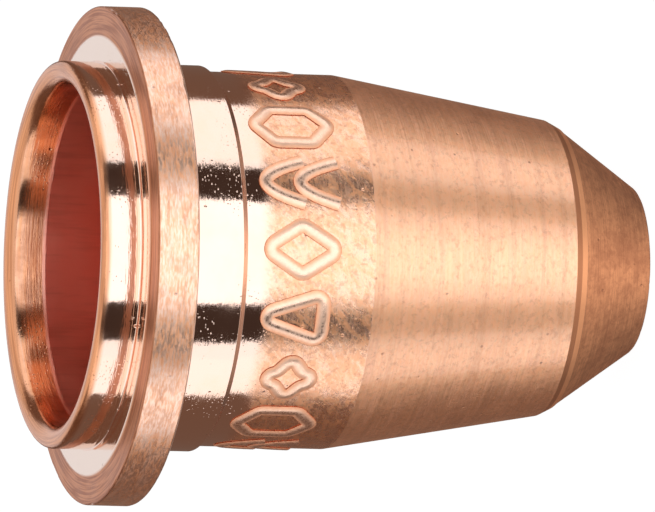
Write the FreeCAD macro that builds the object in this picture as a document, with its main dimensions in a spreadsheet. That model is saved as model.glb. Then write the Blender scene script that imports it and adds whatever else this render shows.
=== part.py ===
# Plasma torch nozzle: one piece of copper, turned all round.
#
# Frame: millimetres, +Z along the axis from the tip to the open rear end, origin at the
# centre of the tip face, so the nozzle stands on its tip.  Stations along the axis are
# heights above the tip face.
import FreeCAD, Part
import os
import Sketcher

SIZES = [
    # alias, value in mm, what it is
    ("overall_length", 16.80, "tip face to rear rim"),
    ("flange_diameter", 14.00, "outside of the flange"),
    ("flange_thickness", 1.19, "flange, face to face, without the seating land"),
    ("flange_edge_break", 0.07, "chamfer on the front edge of the flange"),
    ("burr_edge_break", 0.04, "chamfer on the rear edge of the flange"),
    ("land_width", 0.81, "seating land on the rear of the flange, out from the spigot"),
    ("land_height", 0.04, "seating land above the rear face of the flange"),
    ("land_slope_width", 0.12, "width of the sloping edge of the land"),
    ("spigot_diameter", 10.88, "rear spigot"),
    ("spigot_height", 1.14, "rear rim above the seating land"),
    ("relief_width", 0.15, "relief groove at the foot of the spigot"),
    ("relief_depth", 0.04, "relief groove, depth below the spigot"),
    ("relief_foot_round", 0.06, "round between the relief groove and the seating land"),
    ("rim_outer_round", 0.18, "round on the outside of the rear rim"),
    ("rim_inner_round", 0.44, "round on the inside of the rear rim"),
    ("rim_width", 0.57, "rear rim between the spigot and the entry cone"),
    ("entry_depth", 1.06, "depth of the entry cone"),
    ("bore_wall", 0.75, "wall of the spigot round the parallel rear bore"),
    ("bore_depth", 7.60, "rear rim to the end of the parallel bore"),
    ("chamber_diameter", 5.80, "small end of the inner cone"),
    ("chamber_depth", 13.30, "rear rim to the small end of the inner cone"),
    ("orifice_diameter", 1.00, "orifice through the tip"),
    ("orifice_length", 1.90, "parallel orifice, with its exit countersink"),
    ("exit_diameter", 1.36, "exit countersink at the tip face"),
    ("exit_depth", 0.18, "depth of the exit countersink"),
    ("body_relief", 0.02, "polished body ahead of the flange, below the spigot"),
    ("body_length", 1.70, "front of the flange to the marking step"),
    ("step_length", 0.16, "chamfer from the body down to the marking band"),
    ("step_drop", 0.16, "marking band below the body"),
    ("band_length", 3.71, "marking band along the axis"),
    ("cone_end_diameter", 8.36, "small end of the long cone"),
    ("cone_end_height", 2.68, "small end of the long cone above the tip face"),
    ("facet_drop", 0.18, "narrow facet at the small end of the long cone, below its edge"),
    ("facet_height", 2.33, "end of the narrow facet above the tip face"),
    ("undercut_depth", 0.02, "step from the facet down to the tip cone"),
    ("tip_face_diameter", 4.68, "tip cone where it meets the tip face"),
    ("tip_round", 0.16, "round at the edge of the tip face"),
]

doc = FreeCAD.newDocument("plasma_nozzle")

sheet = doc.addObject("Spreadsheet::Sheet", "Sizes")
for row, (alias, value, meaning) in enumerate(SIZES, start=1):
    sheet.set("A%d" % row, alias)
    sheet.set("B%d" % row, str(value))
    sheet.set("C%d" % row, meaning)
    sheet.setAlias("B%d" % row, alias)
doc.recompute()


def size(alias):
    """The number in the sheet under this alias."""
    return float(sheet.get(alias))


def origin_plane(body, role):
    """One of the body's own origin planes."""
    for feature in body.Origin.OriginFeatures:
        if feature.Role == role:
            return feature
    raise RuntimeError("no plane " + role)


def half_section(body, name, corners):
    """A closed sketch on the XZ plane: each corner is (radius, height) written as
    expressions in the sheet's aliases, and each one is held by two dimensions."""
    sketch = body.newObject("Sketcher::SketchObject", name)
    sketch.AttachmentSupport = [(origin_plane(body, "XZ_Plane"), "")]
    sketch.MapMode = "FlatFace"
    points = [FreeCAD.Vector(r, height, 0) for r, height, _, _ in corners]
    count = len(points)
    for index in range(count):
        sketch.addGeometry(Part.LineSegment(points[index], points[(index + 1) % count]), False)
    for index in range(count):
        sketch.addConstraint(Sketcher.Constraint("Coincident", index, 2, (index + 1) % count, 1))
    for index, (r, height, r_rule, height_rule) in enumerate(corners):
        if r_rule == "0":
            sketch.addConstraint(Sketcher.Constraint("PointOnObject", index, 1, -2))
        else:
            number = sketch.addConstraint(Sketcher.Constraint("DistanceX", -1, 1, index, 1, r))
            sketch.setExpression("Constraints[%d]" % number, r_rule)
        if height_rule == "0":
            sketch.addConstraint(Sketcher.Constraint("PointOnObject", index, 1, -1))
        else:
            number = sketch.addConstraint(Sketcher.Constraint("DistanceY", -1, 1, index, 1, height))
            sketch.setExpression("Constraints[%d]" % number, height_rule)
    return sketch


def half(alias):
    """Half of a diameter in the sheet, as the first term of a radius."""
    return [(0.5, alias)]


def less(alias):
    """A size in the sheet taken away, as a further term."""
    return [(-1, alias)]


def more(alias):
    """A size in the sheet added, as a further term."""
    return [(1, alias)]


def corner(r_terms, height_terms):
    """A corner from two lists of (factor, alias): its numbers, and the same sums as
    expressions."""
    numbers = []
    rules = []
    for terms in (r_terms, height_terms):
        numbers.append(sum(factor * size(alias) for factor, alias in terms))
        rules.append(" ".join("%+g * Sizes.%s" % term for term in terms).lstrip("+") or "0")
    return numbers[0], numbers[1], rules[0], rules[1]


body = doc.addObject("PartDesign::Body", "Nozzle")
body.Label = "nozzle"

# Heights above the tip face that several corners share.
RIM = more("overall_length")
LAND = RIM + less("spigot_height")
REAR = LAND + less("land_height")
FRONT = REAR + less("flange_thickness")
STEP = FRONT + less("body_length")
BAND = STEP + less("step_length")
CONE = BAND + less("band_length")
RELIEF = LAND + more("relief_width")

# Radii that several corners share.
FLANGE = half("flange_diameter")
SPIGOT = half("spigot_diameter")
SEAT = SPIGOT + more("land_width")
ENTRY = SPIGOT + less("rim_width")
BORE = SPIGOT + less("bore_wall")
GROOVE = SPIGOT + less("relief_depth")
BODY = SPIGOT + less("body_relief")
MARKED = BODY + less("step_drop")
CONE_END = half("cone_end_diameter")
FACET = CONE_END + less("facet_drop")
TIP = half("tip_face_diameter")

outside = half_section(body, "OutsideProfile", [
    corner([], []),
    corner(TIP, []),
    corner(FACET + less("undercut_depth"), more("facet_height")),
    corner(FACET, more("facet_height")),
    corner(CONE_END, more("cone_end_height")),
    corner(MARKED, CONE),
    corner(MARKED, BAND),
    corner(BODY, STEP),
    corner(BODY, FRONT),
    corner(FLANGE, FRONT),
    corner(FLANGE, REAR),
    corner(SEAT, REAR),
    corner(SEAT + less("land_slope_width"), LAND),
    corner(GROOVE, LAND),
    corner(GROOVE, RELIEF),
    corner(SPIGOT, RELIEF),
    corner(SPIGOT, RIM),
    corner([], RIM),
])
turned = body.newObject("PartDesign::Revolution", "TurnedOutside")
turned.Profile = outside
turned.ReferenceAxis = (outside, ["V_Axis"])
turned.Angle = 360
doc.recompute()
blank_volume = turned.Shape.Volume

# The stepped bore: entry cone, parallel bore, inner cone, chamber floor, orifice and exit
# countersink, cut in one groove.
inside = half_section(body, "InsideProfile", [
    corner([], []),
    corner(half("exit_diameter"), []),
    corner(half("orifice_diameter"), more("exit_depth")),
    corner(half("orifice_diameter"), more("orifice_length")),
    corner(half("chamber_diameter"), RIM + less("chamber_depth")),
    corner(BORE, RIM + less("bore_depth")),
    corner(BORE, RIM + less("entry_depth")),
    corner(ENTRY, RIM),
    corner([], RIM),
])
bored = body.newObject("PartDesign::Groove", "SteppedBore")
bored.Profile = inside
bored.ReferenceAxis = (inside, ["V_Axis"])
bored.Angle = 360
doc.recompute()
if bored.Shape.Volume > 0.9 * blank_volume:
    raise RuntimeError("the bore cuts nothing")


def ring_edge(shape, radius, height):
    """The name of the circular edge at this radius and height."""
    for number, edge in enumerate(shape.Edges, start=1):
        curve = edge.Curve
        if not isinstance(curve, Part.Circle):
            continue
        if abs(curve.Radius - radius) < 1e-4 and abs(curve.Center.z - height) < 1e-4:
            return "Edge%d" % number
    raise RuntimeError("no edge of radius %g at height %g" % (radius, height))


def total(terms):
    """The number that a sum of sheet sizes comes to."""
    return sum(factor * size(alias) for factor, alias in terms)


def dress(kind, name, base, r_terms, height_terms, measure, alias):
    """A fillet or chamfer on one circular edge, its size bound to the sheet."""
    edge = ring_edge(base.Shape, total(r_terms), total(height_terms))
    feature = body.newObject(kind, name)
    feature.Base = (base, [edge])
    feature.setExpression(measure, "Sizes." + alias)
    doc.recompute()
    if abs(feature.Shape.Volume - base.Shape.Volume) < 1e-6:
        raise RuntimeError(name + " changes nothing")
    return feature


step = dress("PartDesign::Fillet", "RimOuterRound", bored, SPIGOT, RIM,
             "Radius", "rim_outer_round")
step = dress("PartDesign::Fillet", "RimInnerRound", step, ENTRY, RIM,
             "Radius", "rim_inner_round")
step = dress("PartDesign::Fillet", "ReliefFootRound", step, GROOVE, LAND,
             "Radius", "relief_foot_round")
step = dress("PartDesign::Fillet", "TipRound", step, TIP, [], "Radius", "tip_round")
step = dress("PartDesign::Chamfer", "FlangeRearEdge", step, FLANGE, REAR,
             "Size", "burr_edge_break")
step = dress("PartDesign::Chamfer", "FlangeFrontEdge", step, FLANGE, FRONT,
             "Size", "flange_edge_break")
body.Tip = step
body.Placement = FreeCAD.Placement(FreeCAD.Vector(0, 0, 0), FreeCAD.Rotation())
doc.recompute()

for item in doc.Objects:
    if "Invalid" in item.State or "Error" in item.State:
        raise RuntimeError(item.Name + " failed: " + ", ".join(item.State))

os.makedirs("parts", exist_ok=True)
for piece in [body]:
    shape = piece.Shape
    if shape.isNull() or not shape.isValid() or len(shape.Solids) != 1:
        raise RuntimeError(piece.Label + " has no single valid solid")
    shape.exportStep("parts/" + piece.Label + ".step")
    box = shape.BoundBox
    print(piece.Label, "volume", round(shape.Volume, 3), "centre", shape.CenterOfGravity)
    print("box", box.XMin, box.YMin, box.ZMin, box.XMax, box.YMax, box.ZMax)
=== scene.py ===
"""Plasma torch nozzle: one piece of turned copper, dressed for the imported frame."""
import math

import bpy
from mathutils import Matrix, Vector


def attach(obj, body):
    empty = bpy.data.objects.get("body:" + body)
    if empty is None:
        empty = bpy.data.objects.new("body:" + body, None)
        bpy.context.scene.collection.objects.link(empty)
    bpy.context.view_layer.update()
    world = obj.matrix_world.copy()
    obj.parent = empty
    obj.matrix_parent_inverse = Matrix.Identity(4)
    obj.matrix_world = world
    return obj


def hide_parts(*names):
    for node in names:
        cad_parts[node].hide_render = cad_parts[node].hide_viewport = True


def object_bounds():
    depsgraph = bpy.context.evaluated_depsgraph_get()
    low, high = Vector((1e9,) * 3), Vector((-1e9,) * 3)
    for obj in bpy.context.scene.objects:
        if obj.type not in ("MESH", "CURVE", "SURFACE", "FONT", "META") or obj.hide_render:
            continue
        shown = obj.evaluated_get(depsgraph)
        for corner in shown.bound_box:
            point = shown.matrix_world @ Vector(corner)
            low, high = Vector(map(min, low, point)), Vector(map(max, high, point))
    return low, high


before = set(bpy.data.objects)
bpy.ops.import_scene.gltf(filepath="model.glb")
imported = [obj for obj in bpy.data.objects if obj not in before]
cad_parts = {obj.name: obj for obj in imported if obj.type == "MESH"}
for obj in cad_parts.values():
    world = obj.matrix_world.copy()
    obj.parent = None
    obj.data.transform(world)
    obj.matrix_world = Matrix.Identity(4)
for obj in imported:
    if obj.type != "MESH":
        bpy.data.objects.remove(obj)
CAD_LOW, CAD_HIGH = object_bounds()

bl_info = {
    "name": "Plasma torch nozzle",
    "version": (1, 0, 0),
    "blender": (4, 5, 0),
    "location": "3D View > Sidebar > Nozzle",
    "description": "Builds a turned copper torch nozzle and a small studio for it",
    "category": "Object",
}

MM = 0.001
NODE = "nozzle"
DENT_START = 0.56  # noise above this dents an edge
DENT_GAIN = 9.0
FILM_INDEX = 2.2  # how strongly the clear film mirrors
LENGTH = CAD_HIGH.z - CAD_LOW.z
FLANGE_RADIUS = (CAD_HIGH.x - CAD_LOW.x) / 2


# ---------------------------------------------------------------- sizes and colours


def distance(name, description, default):
    """A length property, in metres."""
    return bpy.props.FloatProperty(
        name=name,
        description=description,
        default=default,
        min=0.0,
        precision=5,
        subtype="DISTANCE",
        unit="LENGTH",
    )


def share(name, description, default):
    """A property between 0 and 1."""
    return bpy.props.FloatProperty(
        name=name, description=description, default=default, min=0.0, max=1.0, subtype="FACTOR"
    )


def paint(name, description, default):
    """A colour property, linear."""
    return bpy.props.FloatVectorProperty(
        name=name,
        description=description,
        default=default,
        size=3,
        min=0.0,
        max=1.0,
        subtype="COLOR",
    )


def turn(name, description, degrees):
    """An angle property."""
    return bpy.props.FloatProperty(
        name=name,
        description=description,
        default=math.radians(degrees),
        subtype="ANGLE",
        unit="ROTATION",
    )


class NozzleSizes(bpy.types.PropertyGroup):
    """Sizes of the turned body; heights are above the tip face."""

    length: distance("Length", "Tip face to rear rim", LENGTH)
    flange_radius: distance("Flange radius", "Outside of the flange", FLANGE_RADIUS)
    flange_thickness: distance("Flange thickness", "Flange, face to face", 1.19 * MM)
    land_radius: distance("Land radius", "Outside of the seating land", 6.25 * MM)
    land_height: distance("Land height", "Seating land above the flange", 0.04 * MM)
    land_slope: distance("Land slope", "Width of the land's sloping edge", 0.12 * MM)
    spigot_radius: distance("Spigot radius", "Rear spigot", 5.44 * MM)
    spigot_height: distance("Spigot height", "Rear rim above the land", 1.14 * MM)
    relief_width: distance("Relief width", "Groove at the foot of the spigot", 0.15 * MM)
    relief_depth: distance("Relief depth", "Groove below the spigot", 0.04 * MM)
    rim_outer: distance("Rim outside", "Round outside the rear rim", 0.18 * MM)
    rim_inner: distance("Rim inside", "Round inside the rear rim", 0.44 * MM)
    rim_width: distance("Rim width", "Rim between spigot and entry cone", 0.57 * MM)
    entry_depth: distance("Entry depth", "Depth of the entry cone", 1.06 * MM)
    bore_radius: distance("Bore radius", "Parallel rear bore", 4.69 * MM)
    bore_depth: distance("Bore depth", "Rear rim to the end of the bore", 7.60 * MM)
    chamber_radius: distance("Chamber radius", "Small end of the inner cone", 2.90 * MM)
    chamber_depth: distance("Chamber depth", "Rear rim to that small end", 13.30 * MM)
    orifice_radius: distance("Orifice radius", "Orifice through the tip", 0.50 * MM)
    orifice_length: distance("Orifice length", "Parallel orifice and its exit", 1.90 * MM)
    exit_radius: distance("Exit radius", "Countersink at the tip face", 0.68 * MM)
    exit_depth: distance("Exit depth", "Depth of that countersink", 0.18 * MM)
    body_radius: distance("Body radius", "Polished body ahead of the flange", 5.42 * MM)
    body_length: distance("Body length", "Flange to the marking step", 1.70 * MM)
    step_length: distance("Step length", "Chamfer down to the band", 0.16 * MM)
    band_radius: distance("Band radius", "Marking band", 5.26 * MM)
    band_length: distance("Band length", "Marking band along the axis", 3.71 * MM)
    cone_end_radius: distance("Cone end radius", "Small end of the long cone", 4.18 * MM)
    cone_end_height: distance("Cone end height", "Where the long cone ends", 2.68 * MM)
    facet_radius: distance("Facet radius", "Narrow facet after the cone", 4.00 * MM)
    facet_height: distance("Facet height", "Where the facet ends", 2.33 * MM)
    undercut: distance("Undercut", "Step from facet to tip cone", 0.02 * MM)
    tip_radius: distance("Tip radius", "Tip cone at the tip face", 2.34 * MM)
    tip_round: distance("Tip round", "Round at the edge of the tip", 0.16 * MM)
    edge_nicks: distance("Edge nicks", "How far small dents reach in", 0.030 * MM)
    segments: bpy.props.IntProperty(
        name="Segments", description="Divisions round the axis", default=480, min=24
    )


class NozzleMarks(bpy.types.PropertyGroup):
    """The raised marks rolled round the band: plain shapes, with no meaning."""

    count: bpy.props.IntProperty(
        name="Count", description="Marks round the band", default=17, min=1
    )
    height: distance("Mark height", "Along the axis of the nozzle", 2.20 * MM)
    width: distance("Mark width", "Along the band", 1.42 * MM)
    centre: distance("Row height", "Middle of the row above the tip face", 10.98 * MM)
    stroke: distance("Stroke", "Width of a raised line at its foot", 0.42 * MM)
    relief: distance("Relief", "Raised line above the band", 0.070 * MM)
    corner: distance("Corner", "Round of a mark's corners", 0.22 * MM)
    first: turn("First mark", "Turn of the row about the axis", -86.3)
    order: bpy.props.IntProperty(
        name="Order", description="Steps from one shape to the next", default=5, min=1
    )


class NozzleFinish(bpy.types.PropertyGroup):
    """Colours and roughness of the copper."""

    copper: paint("Copper", "Clean turned copper", (0.93, 0.62, 0.48))
    pale: paint("Pale copper", "Seating land and raised marks", (0.95, 0.75, 0.61))
    gold: paint("Golden copper", "Handled copper between the marks", (0.92, 0.55, 0.33))
    # Tan is satin copper, and at the feet of the raised marks it is also painted shade.
    tan: paint("Tan copper", "Satin copper of the cones", (0.95, 0.43, 0.21))
    # Brown is tarnish, and in the entry cone it is also painted shade.
    brown: paint("Brown copper", "Tarnish in low places", (0.40, 0.15, 0.075))
    red: paint("Red copper", "Inside of the bore", (0.99, 0.45, 0.33))
    polished: share("Polished", "Roughness of the cylinders", 0.07)
    handled: share("Handled", "Roughness between the marks", 0.22)
    satin: share("Satin", "Roughness of the cones", 0.42)
    matte: share("Matte", "Roughness of the flange edge", 0.44)
    film: share("Film", "Roughness of the clear film on satin copper", 0.16)


class NozzleStudio(bpy.types.PropertyGroup):
    """Camera, floor and soft boxes."""

    elevation: turn("Elevation", "Camera above the horizon", 15.7)
    roll: turn("Roll", "Lean of the axis in the view", 1.59)
    span: distance("Span", "Width of the view at the nozzle", 18.41 * MM)
    reach: distance("Reach", "Camera to the nozzle", 0.68)
    aim_height: distance("Aim height", "Aim point above the tip face", 8.792 * MM)
    aim_side: distance("Aim side", "Aim point beside the axis", 0.173 * MM)
    box_distance: distance("Box distance", "Soft boxes from the axis", 0.50)
    box_colour: paint("Box colour", "Light of the soft boxes", (0.81, 0.905, 1.0))
    dark_card: paint("Dark card", "Card beside the camera", (0.050, 0.034, 0.028))
    brown_card: paint("Brown card", "Card round the back", (0.165, 0.105, 0.08))
    box_level: bpy.props.FloatProperty(
        name="Box level", description="Brightness of the soft boxes", default=2.0, min=0.0
    )


# ---------------------------------------------------------------- node trees


class Wire:
    """One output socket; Python's operators on it add Math nodes to its tree."""

    def __init__(self, tree, socket):
        self.tree = tree
        self.socket = socket

    def math(self, operation, *others, clamp=False):
        values = {index + 1: other for index, other in enumerate(others)}
        values[0] = self
        return self.tree.add(
            "ShaderNodeMath", {"operation": operation, "use_clamp": clamp}, values
        )

    def flipped(self, operation, other):
        return self.tree.add("ShaderNodeMath", {"operation": operation}, {0: other, 1: self})

    def __add__(self, other):
        return self.math("ADD", other)

    __radd__ = __add__

    def __sub__(self, other):
        return self.math("SUBTRACT", other)

    def __rsub__(self, other):
        return self.flipped("SUBTRACT", other)

    def __mul__(self, other):
        return self.math("MULTIPLY", other)

    __rmul__ = __mul__

    def __truediv__(self, other):
        return self.math("DIVIDE", other)

    def __rtruediv__(self, other):
        return self.flipped("DIVIDE", other)

    def __pow__(self, other):
        return self.math("POWER", other)

    def clamped(self):
        return self.math("ADD", 0.0, clamp=True)


class Tree:
    """A node tree under construction."""

    def __init__(self, nodes_of):
        self.tree = nodes_of

    def node(self, kind, settings=None, values=None):
        """A node with its settings made first, then its sockets filled or linked."""
        made = self.tree.nodes.new(kind)
        for name, value in (settings or {}).items():
            setattr(made, name, value)
        for key, value in (values or {}).items():
            self.fill(made.inputs[key], value)
        return made

    def add(self, kind, settings=None, values=None, out=0):
        """The same, giving one output as a Wire."""
        return Wire(self, self.node(kind, settings, values).outputs[out])

    def fill(self, socket, value):
        if isinstance(value, Wire):
            self.tree.links.new(value.socket, socket)
        elif isinstance(value, (list, tuple)) and value and isinstance(value[0], Wire):
            for wire in value:
                self.tree.links.new(wire.socket, socket)
        else:
            socket.default_value = value

    def mix(self, factor, first, second):
        """A colour between two colours."""
        colours = [c if isinstance(c, Wire) else (*c, 1.0) for c in (first, second)]
        return self.add(
            "ShaderNodeMix",
            {"data_type": "RGBA", "blend_type": "MIX", "clamp_factor": True},
            {0: factor, 6: colours[0], 7: colours[1]},
            out=2,
        )

    def ramp(self, value, low, high, start=0.0, end=1.0):
        """A smooth rise of a value from start to end, as value goes from low to high."""
        return self.add(
            "ShaderNodeMapRange",
            {"interpolation_type": "SMOOTHSTEP"},
            {0: value, 1: low, 2: high, 3: start, 4: end},
        )

    def vector(self, x, y, z):
        return self.add("ShaderNodeCombineXYZ", {}, {0: x, 1: y, 2: z})

    def split(self, wire):
        made = self.node("ShaderNodeSeparateXYZ", {}, {0: wire})
        return [Wire(self, socket) for socket in made.outputs]

    def noise(self, place, scale, detail=2.0, roughness=0.5, distortion=0.0):
        return self.add(
            "ShaderNodeTexNoise",
            {"noise_dimensions": "3D"},
            {
                "Vector": place,
                "Scale": scale,
                "Detail": detail,
                "Roughness": roughness,
                "Distortion": distortion,
            },
        )

    def cells(self, place, scale):
        """Distance to the nearest of many scattered points."""
        return self.add(
            "ShaderNodeTexVoronoi", {"feature": "F1"}, {"Vector": place, "Scale": scale}
        )


def new_material(name):
    """An empty material, and its tree to fill."""
    material = bpy.data.materials.new(name)
    material.use_nodes = True
    material.node_tree.nodes.clear()
    return material, Tree(material.node_tree)


def new_shape_tree(name, inputs):
    """A Geometry Nodes tree with a geometry input, named inputs and one geometry output."""
    tree = bpy.data.node_groups.new(name, "GeometryNodeTree")
    tree.is_modifier = True
    tree.interface.new_socket("Geometry", in_out="INPUT", socket_type="NodeSocketGeometry")
    for label, kind, default in inputs:
        socket = tree.interface.new_socket(label, in_out="INPUT", socket_type=kind)
        if default is not None:
            socket.default_value = default
    tree.interface.new_socket("Geometry", in_out="OUTPUT", socket_type="NodeSocketGeometry")
    return tree


def settled_mesh(name, start, tree, values, material):
    """The tree's result on a starting mesh, as a plain mesh object at the origin."""
    source = bpy.data.objects.new(name + "_source", start)
    bpy.context.scene.collection.objects.link(source)
    modifier = source.modifiers.new("shape", "NODES")
    modifier.node_group = tree
    for item in tree.interface.items_tree:
        if item.item_type == "SOCKET" and item.in_out == "INPUT" and item.name in values:
            modifier[item.identifier] = values[item.name]
    bpy.context.view_layer.update()
    graph = bpy.context.evaluated_depsgraph_get()
    mesh = bpy.data.meshes.new_from_object(source.evaluated_get(graph))
    bpy.data.objects.remove(source)
    if len(mesh.polygons) == 0:
        raise RuntimeError(name + " came out empty")
    mesh.name = name
    mesh.materials.clear()
    mesh.materials.append(material)
    piece = bpy.data.objects.new(name, mesh)
    bpy.context.scene.collection.objects.link(piece)
    return piece


# ---------------------------------------------------------------- the turned body


def stations(size):
    """Heights above the tip face of the rear rim, the land, the flange's rear and front, the
    marking step, the band and the long cone."""
    rim = size.length
    land = rim - size.spigot_height
    rear = land - size.land_height
    front = rear - size.flange_thickness
    step = front - size.body_length
    band = step - size.step_length
    cone = band - size.band_length
    return rim, land, rear, front, step, band, cone


def section_corners(size):
    """Corners of the half section, up the outside and then down the inside: radius,
    height, round, and how much the edge is nicked."""
    rim, land, rear, front, step, band, cone = stations(size)
    relief = land + size.relief_width
    spigot = size.spigot_radius
    groove = spigot - size.relief_depth
    fine = 0.012 * MM
    outside = [
        (size.tip_radius, 0.0, size.tip_round, 0.3),
        (size.facet_radius - size.undercut, size.facet_height, fine, 0.0),
        (size.facet_radius, size.facet_height, fine, 0.0),
        (size.cone_end_radius, size.cone_end_height, 0.04 * MM, 0.3),
        (size.band_radius, cone, 0.30 * MM, 0.0),
        (size.band_radius, band, 0.02 * MM, 0.0),
        (size.body_radius, step, 0.03 * MM, 0.0),
        (size.body_radius, front, 0.05 * MM, 0.0),
        (size.flange_radius, front, 0.07 * MM, 0.6),
        (size.flange_radius, rear, 0.05 * MM, 1.0),
        (size.land_radius, rear, 0.02 * MM, 0.0),
        (size.land_radius - size.land_slope, land, 0.03 * MM, 0.0),
        (groove, land, 0.06 * MM, 0.0),
        (groove, relief, fine, 0.0),
        (spigot, relief, fine, 0.0),
        (spigot, rim, size.rim_outer, 0.1),
        (spigot - size.rim_width, rim, size.rim_inner, 0.0),
    ]
    inside = [
        (size.bore_radius, rim - size.entry_depth, 0.04 * MM, 0.5),
        (size.bore_radius, rim - size.bore_depth, 0.20 * MM, 0.0),
        (size.chamber_radius, rim - size.chamber_depth, 0.40 * MM, 0.0),
        (size.orifice_radius, size.orifice_length, 0.05 * MM, 0.0),
        (size.orifice_radius, size.exit_depth, 0.02 * MM, 0.0),
        (size.exit_radius, 0.0, 0.02 * MM, 0.0),
    ]
    return outside, inside


def rounded_section(outside, inside):
    """The closed half section with its corners rounded and held on both sides: radius,
    height, nicks, and 1 where the point lies in the bore."""
    corners = outside + inside
    count = len(corners)
    spots = [Vector(corner[:2]) for corner in corners]
    sides = [spots[(i + 1) % count] - spots[i] for i in range(count)]
    halves = [(-sides[i - 1]).angle(sides[i]) / 2 for i in range(count)]
    reach = [corner[2] / math.tan(half) for corner, half in zip(corners, halves)]
    fit = [
        min(1.0, 0.9 * sides[i].length / (reach[i] + reach[(i + 1) % count]))
        for i in range(count)
    ]
    reach = [reach[i] * min(fit[i - 1], fit[i]) for i in range(count)]
    spare = [
        (sides[i].length - reach[i] - reach[(i + 1) % count]) * 0.4 for i in range(count)
    ]
    points = []
    for index, here in enumerate(spots):
        before = -sides[index - 1].normalized()
        after = sides[index].normalized()
        setback = reach[index]
        half = halves[index]
        centre = here + (before + after).normalized() * (setback / math.cos(half))
        nicks = corners[index][3]
        bore = 1.0 if index >= len(outside) else 0.0
        hold = 0.4 * setback + 0.01 * MM
        start = here + before * setback
        points.append((*(start + before * min(hold, spare[index - 1])), 0.0, bore))
        sweep = math.pi - 2 * half
        size = setback * math.tan(half)
        steps = 3 if size < 0.02 * MM else 6 if size < 0.3 * MM else 10
        for step in range(steps + 1):
            part = step / steps
            spread = (
                math.sin((1 - part) * sweep) * (start - centre)
                + math.sin(part * sweep) * (here + after * setback - centre)
            ) / math.sin(sweep)
            points.append((*(centre + spread), nicks if 0 < step < steps else 0.0, bore))
        stop = here + after * (setback + min(hold, spare[index]))
        points.append((*stop, 0.0, bore))
    return points


def lathe_tree(rows):
    """Turns the section once round the axis and dents its edges a little."""
    tree = new_shape_tree(
        "Turn on the lathe",
        [
            ("Segments", "NodeSocketInt", 480),
            ("Edge Nicks", "NodeSocketFloat", 0.0),
            ("Seed", "NodeSocketInt", 7),
            ("Material", "NodeSocketMaterial", None),
        ],
    )
    make = Tree(tree)
    given = make.node("NodeGroupInput")
    section, segments, nicks, seed, material = [Wire(make, s) for s in given.outputs][:5]
    grid = make.add(
        "GeometryNodeMeshGrid",
        {},
        {"Size X": 1.0, "Size Y": 1.0, "Vertices X": segments + 1, "Vertices Y": rows + 1},
    )
    across, along, _ = make.split(make.add("GeometryNodeInputPosition"))
    angle = (across + 0.5) * math.tau
    row = ((along + 0.5) * rows).math("ROUND").math("MODULO", rows)
    radius, _, height = make.split(
        make.add(
            "GeometryNodeSampleIndex",
            {"data_type": "FLOAT_VECTOR", "domain": "POINT"},
            {"Geometry": section, "Value": make.add("GeometryNodeInputPosition"), "Index": row},
        )
    )

    def carried(name):
        """A number stored on the section, read at this point's row."""
        here = make.add(
            "GeometryNodeInputNamedAttribute", {"data_type": "FLOAT"}, {"Name": name}
        )
        return make.add(
            "GeometryNodeSampleIndex",
            {"data_type": "FLOAT", "domain": "POINT"},
            {"Geometry": section, "Value": here, "Index": row},
        )

    place = make.vector(
        radius * angle.math("COSINE"), radius * angle.math("SINE"), height
    )
    marked = grid
    for name in ("edge", "bore"):
        marked = make.add(
            "GeometryNodeStoreNamedAttribute",
            {"data_type": "FLOAT", "domain": "POINT"},
            {"Geometry": marked, "Name": name, "Value": carried(name)},
        )
    turned = make.add("GeometryNodeSetPosition", {}, {"Geometry": marked, "Position": place})
    closed = make.add("GeometryNodeMergeByDistance", {}, {"Geometry": turned, "Distance": 1e-7})
    bumps = make.add(
        "ShaderNodeTexNoise",
        {"noise_dimensions": "4D"},
        {
            "Vector": make.add("GeometryNodeInputPosition"),
            "W": seed,
            "Scale": 1500.0,
            "Detail": 3.0,
            "Roughness": 0.65,
        },
    )
    worn = make.add(
        "GeometryNodeInputNamedAttribute", {"data_type": "FLOAT"}, {"Name": "edge"}
    )
    dent = (bumps - DENT_START).math("MAXIMUM", 0.0) * DENT_GAIN
    depth = dent * worn * nicks * -1.0
    push = make.add(
        "ShaderNodeVectorMath",
        {"operation": "SCALE"},
        {0: make.add("GeometryNodeInputNormal"), "Scale": depth},
    )
    nicked = make.add("GeometryNodeSetPosition", {}, {"Geometry": closed, "Offset": push})
    smooth = make.add("GeometryNodeSetShadeSmooth", {}, {"Geometry": nicked})
    real = make.add("GeometryNodeRealizeInstances", {}, {"Geometry": smooth})
    clad = make.add("GeometryNodeSetMaterial", {}, {"Geometry": real, "Material": material})
    make.node("NodeGroupOutput", {}, {0: clad})
    return tree


class NOZZLE_OT_turned_body(bpy.types.Operator):
    """Turn the copper body with its flange, bore and cones"""

    bl_idname = "nozzle.turned_body"
    bl_label = "Turned body"
    bl_options = {"REGISTER", "UNDO"}

    def execute(self, context):
        size = context.scene.nozzle_sizes
        points = rounded_section(*section_corners(size))
        rows = len(points)
        section = bpy.data.meshes.new("section")
        section.from_pydata(
            [(radius, 0.0, height) for radius, height, _, _ in points],
            [(index, (index + 1) % rows) for index in range(rows)],
            [],
        )
        for name, column in (("edge", 2), ("bore", 3)):
            stored = section.attributes.new(name, "FLOAT", "POINT")
            stored.data.foreach_set("value", [point[column] for point in points])
        material = turned_copper(context.scene)
        piece = settled_mesh(
            "nozzle_turned_body",
            section,
            lathe_tree(rows),
            {
                "Segments": size.segments,
                "Edge Nicks": size.edge_nicks,
                "Material": material,
            },
            material,
        )
        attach(piece, "root")
        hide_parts(NODE)
        return {"FINISHED"}


# ---------------------------------------------------------------- the raised marks


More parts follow.
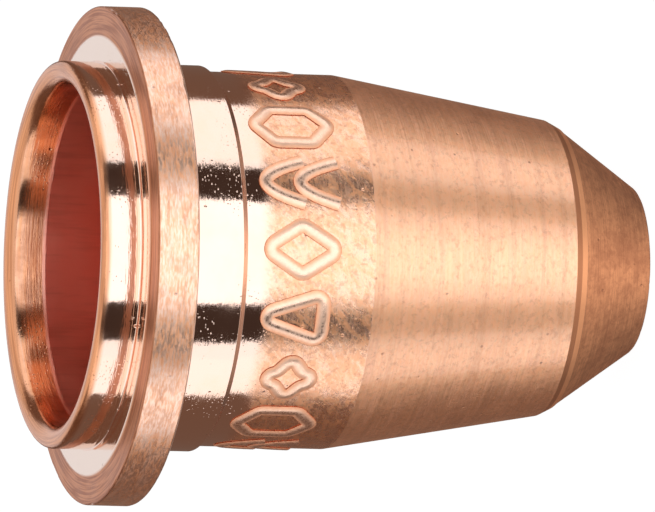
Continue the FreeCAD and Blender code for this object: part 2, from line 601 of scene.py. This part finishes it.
def marks_tree():
    """Lays plain shapes in a row, raises their outlines and bends the row round the band."""
    tree = new_shape_tree(
        "Raised marks round a band",
        [
            ("Count", "NodeSocketInt", 17),
            ("Band Radius", "NodeSocketFloat", 0.005),
            ("Row Height", "NodeSocketFloat", 0.01),
            ("Mark Height", "NodeSocketFloat", 0.0025),
            ("Mark Width", "NodeSocketFloat", 0.0015),
            ("Stroke", "NodeSocketFloat", 0.0004),
            ("Relief", "NodeSocketFloat", 0.00015),
            ("Corner", "NodeSocketFloat", 0.0002),
            ("First Mark", "NodeSocketFloat", 0.0),
            ("Order", "NodeSocketInt", 5),
            ("Material", "NodeSocketMaterial", None),
        ],
    )
    make = Tree(tree)
    given = make.node("NodeGroupInput")
    wires = {s.name: Wire(make, s) for s in given.outputs}
    count = wires["Count"]
    radius = wires["Band Radius"]

    def ring(sides, wide, tall):
        """A regular outline that points along the nozzle."""
        line = make.add(
            "GeometryNodeCurvePrimitiveCircle", {"mode": "RADIUS"},
            {"Resolution": sides, "Radius": 0.5},
        )
        return make.add(
            "GeometryNodeTransform", {},
            {"Geometry": make.add(
                "GeometryNodeTransform", {},
                {"Geometry": line, "Rotation": (0.0, 0.0, math.pi / 2)},
            ), "Scale": (wide, tall, 1.0)},
        )

    def arc(bulge):
        """A bow from the foot to the head of a mark."""
        return make.add(
            "GeometryNodeCurveArc", {"mode": "POINTS"},
            {"Resolution": 24, "Start": (0.0, -0.5, 0.0), "Middle": (bulge, 0.0, 0.0),
             "End": (0.0, 0.5, 0.0)},
        )

    def arch(foot):
        """A pointed arch across a mark."""
        return make.add(
            "GeometryNodeCurveQuadraticBezier", {},
            {"Resolution": 16, "Start": (-0.45, foot, 0.0), "Middle": (0.0, foot + 1.0, 0.0),
             "End": (0.45, foot, 0.0)},
        )

    def joined(parts):
        return make.add("GeometryNodeJoinGeometry", {}, {0: list(reversed(parts))})

    star = make.add(
        "GeometryNodeCurveStar", {}, {"Points": 4, "Inner Radius": 0.24, "Outer Radius": 0.52}
    )
    shapes = [
        ring(4, 1.0, 1.0),
        joined([arc(0.42), arc(-0.42)]),
        ring(3, 1.15, 1.25),
        star,
        ring(6, 1.05, 1.0),
        joined([arch(-0.5), arch(-0.05)]),
    ]
    pile = joined(
        [make.add("GeometryNodeGeometryToInstance", {}, {0: shape}) for shape in shapes]
    )
    pitch = radius * math.tau / count
    cell = make.add(
        "GeometryNodeMeshLine", {"mode": "OFFSET"},
        {"Count": count, "Offset": make.vector(pitch, 0.0, 0.0)},
    )
    order = (make.add("GeometryNodeInputIndex") * wires["Order"]).math("MODULO", len(shapes))
    row = make.add(
        "GeometryNodeInstanceOnPoints", {},
        {
            "Points": cell, "Instance": pile, "Pick Instance": True, "Instance Index": order,
            "Scale": make.vector(wires["Mark Width"], wires["Mark Height"], 1.0),
        },
    )
    flat = make.add("GeometryNodeRealizeInstances", {}, {"Geometry": row})
    eased = make.add(
        "GeometryNodeFilletCurve", {"mode": "POLY"},
        {"Curve": flat, "Count": 5, "Radius": wires["Corner"], "Limit Radius": True},
    )
    fine = make.add(
        "GeometryNodeResampleCurve", {"mode": "LENGTH"},
        {"Curve": eased, "Length": 0.05 * MM},
    )
    upright = make.add("GeometryNodeSetCurveNormal", {"mode": "Z_UP"}, {"Curve": fine})
    stroke = wires["Stroke"]
    relief = wires["Relief"]
    outline = make.add(
        "GeometryNodeCurvePrimitiveCircle", {"mode": "RADIUS"},
        {"Resolution": 16, "Radius": 1.0},
    )
    x, y, _ = make.split(make.add("GeometryNodeInputPosition"))
    bell_power = 1.5
    crest = (1.0 - x * x).math("MAXIMUM", 0.0) ** bell_power
    top = y.math("GREATER_THAN", -1e-4)
    keel = 0.06 * MM
    sunk = 0.02 * MM
    rise = top * (crest * relief) - (1.0 - top) * (crest * keel) - sunk * (1.0 - crest)
    bell = make.add(
        "GeometryNodeSetPosition", {},
        {"Geometry": outline, "Position": make.vector(x * stroke * 0.5, rise, 0.0)},
    )
    ridge = make.add(
        "GeometryNodeCurveToMesh", {},
        {"Curve": upright, "Profile Curve": bell, "Fill Caps": True},
    )
    u, v, lift = make.split(make.add("GeometryNodeInputPosition"))
    angle = u / radius + wires["First Mark"]
    out = radius + lift
    place = make.vector(
        out * angle.math("COSINE"), out * angle.math("SINE"), v + wires["Row Height"]
    )
    bent = make.add("GeometryNodeSetPosition", {}, {"Geometry": ridge, "Position": place})
    raised = make.add(
        "GeometryNodeStoreNamedAttribute", {"data_type": "FLOAT", "domain": "POINT"},
        {"Geometry": bent, "Name": "raised", "Value": 1.0},
    )
    smooth = make.add("GeometryNodeSetShadeSmooth", {}, {"Geometry": raised})
    real = make.add("GeometryNodeRealizeInstances", {}, {"Geometry": smooth})
    clad = make.add(
        "GeometryNodeSetMaterial", {}, {"Geometry": real, "Material": wires["Material"]}
    )
    make.node("NodeGroupOutput", {}, {0: clad})
    return tree


class NOZZLE_OT_raised_marks(bpy.types.Operator):
    """Raise the row of plain marks round the band"""

    bl_idname = "nozzle.raised_marks"
    bl_label = "Raised marks"
    bl_options = {"REGISTER", "UNDO"}

    def execute(self, context):
        marks = context.scene.nozzle_marks
        size = context.scene.nozzle_sizes
        material = turned_copper(context.scene)
        start = bpy.data.meshes.new("row")
        piece = settled_mesh(
            "nozzle_raised_marks",
            start,
            marks_tree(),
            {
                "Count": marks.count,
                "Band Radius": size.band_radius,
                "Row Height": marks.centre,
                "Mark Height": marks.height,
                "Mark Width": marks.width,
                "Stroke": marks.stroke,
                "Relief": marks.relief,
                "Corner": marks.corner,
                "First Mark": marks.first,
                "Order": marks.order,
                "Material": material,
            },
            material,
        )
        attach(piece, "root")
        return {"FINISHED"}


# ---------------------------------------------------------------- the copper


class Zones:
    """Where each finish lies, as masks from the nozzle's own coordinates in mm."""

    def __init__(self, make, size):
        own = make.node("ShaderNodeTexCoord")
        self.make = make
        self.place = make.add(
            "ShaderNodeVectorMath", {"operation": "SCALE"},
            {0: Wire(make, own.outputs["Object"]), "Scale": 1.0 / MM},
        )
        self.x, self.y, self.z = make.split(self.place)
        self.radius = (self.x * self.x + self.y * self.y).math("SQRT")
        self.bore = make.ramp(self.stored("bore"), 0.80, 0.98)
        self.raised = self.stored("raised")
        self.worn = self.stored("edge")
        outer = 1.0 - self.bore
        rim, land, rear, front, _, band, cone = [height / MM for height in stations(size)]
        facet = size.facet_height / MM
        end = size.cone_end_height / MM
        flange = size.flange_radius / MM
        spigot = size.spigot_radius / MM
        crest = size.band_radius / MM
        land_edge = size.land_radius / MM
        self.rim = make.ramp(self.z, rim - 0.30, rim - 0.10)
        self.entry = outer * (1.0 - self.rim) * (
            1.0 - make.ramp(self.radius, spigot - 0.25, spigot - 0.15)
        ) * make.ramp(self.z, rim - 1.2, rim - 1.1)
        self.band = self.between(self.z, cone, band) * outer
        # The feet of the raised marks are rougher, and are tinted tan there as painted shade in
        # the creases.
        self.foot = self.raised * (1.0 - make.ramp(self.radius, crest + 0.02, crest + 0.068))
        self.cone = self.between(self.z, facet, cone) * outer
        self.facet = self.between(self.z, facet, end, 0.01) * outer
        self.facet_brow = self.between(self.z, (facet + end) / 2, end, 0.02) * outer
        self.tip = (1.0 - make.ramp(self.z, facet - 0.02, facet + 0.02)) * outer
        self.edge = self.between(self.z, front + 0.05, rear - 0.04) * make.ramp(
            self.radius, flange - 0.1, flange - 0.03
        )
        behind = make.ramp(self.z, front + 0.2, rear - 0.05)
        outside_land = make.ramp(self.radius, land_edge - 0.13, land_edge - 0.03)
        self.annulus = behind * outside_land * (1.0 - self.edge)
        self.spigot = make.ramp(self.z, land + 0.02, land + 0.10) * outer
        outside_spigot = make.ramp(self.radius, spigot + 0.01, spigot + 0.05)
        self.land = behind * outside_spigot * (1.0 - outside_land)
        self.front_face = self.between(self.z, front - 0.03, front + 0.04, 0.01) * make.ramp(
            self.radius, spigot + 0.05, spigot + 0.1
        )
        self.polished_strip = make.ramp(self.z, band - 0.95, band - 0.35)

    def stored(self, name):
        """A number stored on the mesh."""
        return self.make.add(
            "ShaderNodeAttribute", {"attribute_name": name, "attribute_type": "GEOMETRY"},
            {}, out=2,
        )

    def between(self, value, low, high, soft=0.02):
        """1 between two limits, with soft ends."""
        return self.make.ramp(value, low - soft, low + soft) * (
            1.0 - self.make.ramp(value, high - soft, high + soft)
        )

    def scaled(self, wide, tall):
        """The place, stretched across the axis and along it."""
        return self.make.vector(self.x * wide, self.y * wide, self.z * tall)


def turned_copper(scene):
    """Copper that changes finish along the nozzle."""
    name = "turned copper"
    if name in bpy.data.materials:
        return bpy.data.materials[name]
    finish = scene.nozzle_finish
    material, make = new_material(name)
    zone = Zones(make, scene.nozzle_sizes)
    clear = (1.0 - zone.raised) * (1.0 - zone.bore)

    # Lines left by the tool run round the axis, so they change with height on a wall and
    # with radius on a flat face.
    travel = zone.z + zone.radius * 1.3
    lines = make.noise(
        make.vector(zone.x * 0.5, zone.y * 0.5, travel * 16.0), 1.0, detail=3.0, roughness=0.6
    )
    bands = make.noise(make.vector(zone.x * 0.12, zone.y * 0.12, travel * 3.4), 1.0, detail=2.0)
    fringe = make.noise(zone.scaled(2.6, 24.0), 1.0, detail=1.0)
    blotch = make.noise(zone.place, 0.9, detail=4.0, roughness=0.62)
    fleck = make.noise(
        make.vector((zone.x + zone.z) * 1.3, zone.y * 2.2, (zone.z - zone.x) * 3.4),
        1.0, detail=3.0, roughness=0.7, distortion=0.6,
    )
    streak = make.noise(zone.scaled(1.1, 9.0), 1.0, detail=4.0, roughness=0.65)
    mottle = make.noise(zone.place, 5.5, detail=4.0, roughness=0.72, distortion=0.3)
    flake = make.noise(zone.scaled(6.0, 13.0), 1.0, detail=3.0, roughness=0.7)
    glint = make.ramp(flake * 0.5 + lines * 0.5, 0.42, 0.60)
    brushed = make.ramp(make.noise(zone.scaled(5.0, 22.0), 1.0, detail=2.0), 0.42, 0.62)
    drawn = make.noise(zone.scaled(3.0, 0.3), 1.0, detail=3.0, roughness=0.7)
    grain = make.noise(zone.place, 11.0, detail=3.0, roughness=0.7)
    dimple = make.noise(zone.place, 2.4, detail=2.0)
    crowd = make.ramp(make.noise(zone.scaled(1.0, 1.6), 0.8, detail=2.0), 0.47, 0.62)
    spots = make.ramp(make.cells(zone.scaled(9.0, 12.0), 1.0), 0.06, 0.28, 1.0, 0.0) * crowd
    pits = make.ramp(make.cells(zone.place, 1.6), 0.03, 0.09, 1.0, 0.0) * clear

    worked = zone.band * (1.0 - zone.polished_strip) * (1.0 - zone.raised)
    satin = zone.cone + zone.tip
    dull = zone.edge + zone.annulus + zone.front_face

    fine_lines = make.ramp(lines, 0.4, 0.6)
    stains = (
        (make.ramp(blotch, 0.4, 0.75) * 0.25, finish.gold),
        (worked * (0.60 + 0.40 * make.ramp(fleck, 0.35, 0.6)), finish.tan),
        (worked * make.ramp(flake, 0.50, 0.62) * 0.5, finish.gold),
        (worked * make.ramp(mottle, 0.50, 0.62) * 0.40, finish.brown),
        (zone.rim, finish.tan),
        (zone.rim * (0.30 + 0.4 * make.ramp(lines, 0.4, 0.65)), finish.brown),
        (zone.entry * (0.55 + 0.4 * fine_lines), finish.tan),
        # Painted shade: a brown cast darkens the whole entry cone against the glow from the
        # bore; the blotches on top of it are tarnish.
        (zone.entry * (0.40 + 0.3 * make.ramp(blotch, 0.4, 0.6)), finish.brown),
        (zone.cone * (0.80 + 0.2 * make.ramp(lines, 0.38, 0.58)), finish.tan),
        (zone.cone * make.ramp(bands, 0.5, 0.7) * 0.20, finish.brown),
        (zone.cone * make.ramp(mottle, 0.50, 0.64) * 0.30, finish.brown),
        (zone.cone * glint * 0.45, finish.gold),
        (zone.tip, finish.tan),
        (zone.tip * (0.20 + 0.25 * fine_lines), finish.brown),
        (zone.tip * make.ramp(blotch, 0.42, 0.62) * 0.45, finish.brown),
        (zone.tip * make.ramp(mottle, 0.45, 0.62) * 0.35, finish.brown),
        (zone.facet, finish.tan),
        (zone.facet_brow * 0.7, finish.brown),
        (zone.edge * (0.55 + 0.45 * make.ramp(streak, 0.35, 0.6)), finish.tan),
        (zone.edge * make.ramp(streak, 0.50, 0.72) * 0.5, finish.brown),
        (zone.edge * make.ramp(blotch, 0.45, 0.65) * 0.3, finish.brown),
        (zone.edge * brushed * 0.3, finish.pale),
        (zone.annulus * 0.9, finish.tan),
        (zone.annulus * (0.6 + 0.4 * fine_lines), finish.brown),
        (zone.land * 0.85, finish.pale),
        (zone.raised * 0.35, finish.gold),
        # Painted shade: tan in the creases at the feet of the raised marks.
        (zone.foot * 0.7, finish.tan),
        (zone.bore, finish.red),
        (zone.bore * make.ramp(drawn, 0.45, 0.70) * 0.20, finish.brown),
        (pits * 0.5, finish.brown),
        (zone.worn * make.ramp(streak, 0.42, 0.60) * 0.7, finish.brown),
    )
    colour = finish.copper
    for cover, tint in stains:
        colour = make.mix(cover, colour, tint)

    handled = finish.handled - finish.polished + 0.05
    rough = (
        finish.polished
        + 0.04 * make.ramp(blotch, 0.4, 0.7)
        + worked * (handled + 0.12 * make.ramp(fleck, 0.4, 0.7) - glint * 0.06)
        + satin * (finish.satin - finish.polished)
        + dull * (finish.matte - finish.polished)
        - (zone.cone - zone.facet) * glint * 0.07
        + zone.tip * (0.06 - glint * 0.08)
        - zone.edge * brushed * 0.16
        + zone.raised * (0.12 + 0.10 * make.ramp(grain, 0.4, 0.6))
        + zone.foot * 0.36
        + zone.land * 0.02
        + zone.rim * 0.16
        + zone.entry * 0.08
        + zone.bore * 0.25
        + (grain - 0.5) * 0.05
    )
    film = (zone.cone - zone.facet) * 0.3 + zone.edge * 0.45 + worked * 0.3

    plain = 1.0 - satin - dull
    relief = (
        (lines - 0.5) * (0.0007 + zone.cone * 0.0040 + zone.tip * 0.0035 + dull * 0.0045
                         + zone.land * 0.0006 + zone.rim * 0.0016 + zone.entry * 0.0006
                         + worked * 0.0012)
        + (bands - 0.5) * (0.002 + satin * 0.004)
        + (fringe - 0.5) * plain * clear * (0.0036 - zone.spigot * 0.0022 - zone.land * 0.0030)
        + (dimple - 0.5) * clear * (0.0030 + satin * 0.004)
        + (mottle - 0.5) * (worked * 0.002 + zone.raised * 0.002 + satin * 0.0018)
        + (fleck - 0.5) * worked * 0.007
        + (streak - 0.5) * zone.edge * 0.010
        + (grain - 0.5) * (0.0004 + worked * 0.0010 + dull * 0.0010 + zone.tip * 0.0012)
        + spots * plain * clear * 0.0045
        - pits * 0.010
    )
    bump = make.add(
        "ShaderNodeBump", {}, {"Strength": 1.0, "Distance": MM, "Height": relief}
    )
    shader = make.node(
        "ShaderNodeBsdfPrincipled", {},
        {
            "Base Color": colour,
            "Metallic": 1.0,
            "Roughness": rough.math("MAXIMUM", 0.05),
            "Coat Weight": film.clamped(),
            "Coat IOR": FILM_INDEX,
            "Coat Roughness": finish.film,
            "Normal": bump,
        },
    )
    make.node("ShaderNodeOutputMaterial", {}, {0: Wire(make, shader.outputs[0])})
    return material


# ---------------------------------------------------------------- the studio


def even_card(name, colour):
    """A card of one even colour, whatever the light."""
    material, make = new_material(name)
    glow = make.add("ShaderNodeEmission", {}, {0: (*colour, 1.0), 1: 1.0})
    make.node("ShaderNodeOutputMaterial", {}, {0: glow})
    return material


def stage_mesh(name, points, faces, material):
    """A stage object from points and faces."""
    mesh = bpy.data.meshes.new(name)
    mesh.from_pydata(points, [], faces)
    mesh.materials.append(material)
    card = bpy.data.objects.new(name, mesh)
    bpy.context.scene.collection.objects.link(card)
    return card


def toward(degrees):
    """A level direction, in degrees round the axis from the camera's side."""
    a = math.radians(degrees)
    return Vector((-math.sin(a), -math.cos(a), 0.0))


def soft_box(name, studio, start, stop, low, high, level):
    """A tall soft box that fills the view from the axis between two angles."""
    middle = (start + stop) / 2
    width = 2 * studio.box_distance * math.tan(math.radians(stop - start) / 2)
    height = high - low
    lamp = bpy.data.lights.new(name, "AREA")
    lamp.shape = "RECTANGLE"
    lamp.size = width
    lamp.size_y = height
    lamp.color = studio.box_colour
    lamp.energy = level * studio.box_level * math.pi * width * height
    box = bpy.data.objects.new(name, lamp)
    box.location = toward(middle) * studio.box_distance + Vector((0, 0, (low + high) / 2))
    face = toward(middle)
    box.rotation_euler = face.to_track_quat("Z", "Y").to_euler()
    bpy.context.scene.collection.objects.link(box)
    box.visible_camera = False
    return box


def drum(name, radius, low, high, material, start, stop, parts=96):
    """An upright strip of card round the axis, between two angles."""
    points = []
    faces = []
    for index in range(parts + 1):
        spot = toward(start + (stop - start) * index / parts) * radius
        points.append((spot.x, spot.y, low))
        points.append((spot.x, spot.y, high))
    for index in range(parts):
        a = 2 * index
        faces.append((a, a + 1, a + 3, a + 2))
    unseen(stage_mesh(name, points, faces, material))


def unseen(card):
    """A card that only the metal mirrors."""
    card.visible_camera = False
    card.visible_diffuse = False
    card.visible_shadow = False


def table_glow():
    """A pale table that glows, brightest in the middle: a painted pool of light, mirrored by
    what faces down.
    """
    material, make = new_material("pale table")
    own = make.node("ShaderNodeTexCoord")
    x, y, _ = make.split(Wire(make, own.outputs["Object"]))
    behind = make.ramp(y, 0.0, 0.32, 1.0, 0.32)
    aside = make.ramp((x * x).math("SQRT"), 0.0, 0.24, 1.3, 0.42)
    level = behind * aside
    glow = make.add("ShaderNodeEmission", {}, {0: (1.0, 0.94, 0.90, 1.0), 1: level})
    make.node("ShaderNodeOutputMaterial", {}, {0: glow})
    return material


def white_world():
    """An even white surround, also where the metal mirrors it."""
    world = bpy.data.worlds.new("white surround")
    world.use_nodes = True
    world.node_tree.nodes.clear()
    make = Tree(world.node_tree)
    path = make.node("ShaderNodeLightPath")
    seen = (
        Wire(make, path.outputs["Is Camera Ray"])
        + Wire(make, path.outputs["Is Glossy Ray"])
        + Wire(make, path.outputs["Is Transmission Ray"])
    ).clamped()
    level = make.ramp(seen, 0.0, 1.0, 0.6, 1.0)
    back = make.add("ShaderNodeBackground", {}, {0: (1.0, 1.0, 1.0, 1.0), 1: level})
    make.node("ShaderNodeOutputWorld", {}, {0: back})
    bpy.context.scene.world = world


def pale_floor():
    """A white floor that keeps a faint shadow."""
    material, make = new_material("white floor")
    path = make.node("ShaderNodeLightPath")
    seen = Wire(make, path.outputs["Is Camera Ray"])
    matte = make.add("ShaderNodeBsdfDiffuse", {}, {0: (0.9, 0.9, 0.9, 1.0)})
    glow = make.add("ShaderNodeEmission", {}, {0: (1.0, 1.0, 1.0, 1.0), 1: 1.06})
    both = make.add("ShaderNodeMixShader", {}, {0: seen * 0.9, 1: matte, 2: glow})
    make.node("ShaderNodeOutputMaterial", {}, {0: both})
    reach = 2.0
    floor = stage_mesh(
        "floor",
        [(-reach, -reach, 0), (reach, -reach, 0), (reach, reach, 0), (-reach, reach, 0)],
        [(0, 1, 2, 3)],
        material,
    )
    floor.visible_glossy = False
    floor.visible_shadow = False
    return floor


def studio_camera(studio):
    """The camera looks down into the rear opening with the axis lying across the view."""
    e = studio.elevation
    back = Vector((0.0, -math.cos(e), math.sin(e)))
    across = Vector((0.0, -math.sin(e), -math.cos(e)))
    up = Vector((1.0, 0.0, 0.0))
    lean = studio.roll
    right = across * math.cos(lean) + up * math.sin(lean)
    above = up * math.cos(lean) - across * math.sin(lean)
    aim = Vector((studio.aim_side, 0.0, studio.aim_height))
    data = bpy.data.cameras.new("camera")
    data.sensor_width = 36.0
    data.lens = 36.0 * studio.reach / studio.span
    data.clip_start = 0.01
    data.clip_end = 10.0
    camera = bpy.data.objects.new("camera", data)
    turned = Matrix((right, above, back)).transposed().to_4x4()
    camera.matrix_world = Matrix.Translation(aim + back * studio.reach) @ turned
    bpy.context.scene.collection.objects.link(camera)
    bpy.context.scene.camera = camera


class NOZZLE_OT_stage(bpy.types.Operator):
    """Set up the camera, the floor, the soft boxes and the dark cards"""

    bl_idname = "nozzle.stage"
    bl_label = "Stage"
    bl_options = {"REGISTER", "UNDO"}

    def execute(self, context):
        scene = context.scene
        scene.view_settings.view_transform = "Standard"
        studio = scene.nozzle_studio
        studio_camera(studio)
        pale_floor()
        white_world()
        reach = 1.35 * studio.box_distance
        low, high = -studio.box_distance, 0.84 * studio.box_distance
        waist = -0.44 * studio.box_distance
        for name, start, stop, foot, head, level in (
            ("front box", -36, 27, low, high, 0.96),
            ("upper side box", -110, -58, waist, high, 0.74),
            ("upper side foot", -92, -58, low, waist, 0.80),
            ("lower side box", 51, 90, waist, high, 0.76),
            ("lower side foot", 51, 84, low, waist, 0.84),
            ("back box", 150, 210, 0.02, high, 0.42),
        ):
            soft_box(name, studio, start, stop, foot, head, level)
        top = 1.1 * studio.box_distance
        side = 62
        dark = even_card("dark card", studio.dark_card)
        brown = even_card("brown card", studio.brown_card)
        drum("dark card", reach, low, top, dark, -side, side)
        drum("brown card", reach, low, top, brown, side, 360 - side)
        # The table below glows: a painted pool of light that only the metal mirrors.
        unseen(stage_mesh(
            "table below",
            [(-reach, -reach, low), (reach, -reach, low), (reach, reach, low),
             (-reach, reach, low)],
            [(0, 1, 2, 3)],
            table_glow(),
        ))
        return {"FINISHED"}


# ---------------------------------------------------------------- panel and registering


class NOZZLE_PT_panel(bpy.types.Panel):
    """Lists the steps that build the nozzle"""

    bl_idname = "NOZZLE_PT_panel"
    bl_label = "Torch nozzle"
    bl_space_type = "VIEW_3D"
    bl_region_type = "UI"
    bl_category = "Nozzle"

    def draw(self, context):
        layout = self.layout
        for step in STEPS:
            layout.operator(step.bl_idname)
        for group, _ in GROUPS:
            box = layout.box()
            settings = getattr(context.scene, group)
            for prop in settings.bl_rna.properties:
                if not prop.is_readonly and prop.identifier != "name":
                    box.prop(settings, prop.identifier)


GROUPS = (
    ("nozzle_sizes", NozzleSizes),
    ("nozzle_marks", NozzleMarks),
    ("nozzle_finish", NozzleFinish),
    ("nozzle_studio", NozzleStudio),
)
STEPS = (NOZZLE_OT_stage, NOZZLE_OT_turned_body, NOZZLE_OT_raised_marks)


def register():
    for _, group in GROUPS:
        bpy.utils.register_class(group)
    for step in STEPS:
        bpy.utils.register_class(step)
    bpy.utils.register_class(NOZZLE_PT_panel)
    for name, group in GROUPS:
        setattr(bpy.types.Scene, name, bpy.props.PointerProperty(type=group))


def unregister():
    for name, _ in GROUPS:
        delattr(bpy.types.Scene, name)
    bpy.utils.unregister_class(NOZZLE_PT_panel)
    for step in reversed(STEPS):
        bpy.utils.unregister_class(step)
    for _, group in reversed(GROUPS):
        bpy.utils.unregister_class(group)


def main():
    register()
    bpy.ops.nozzle.stage()
    bpy.ops.nozzle.turned_body()
    bpy.ops.nozzle.raised_marks()


if __name__ == "__main__":
    main()
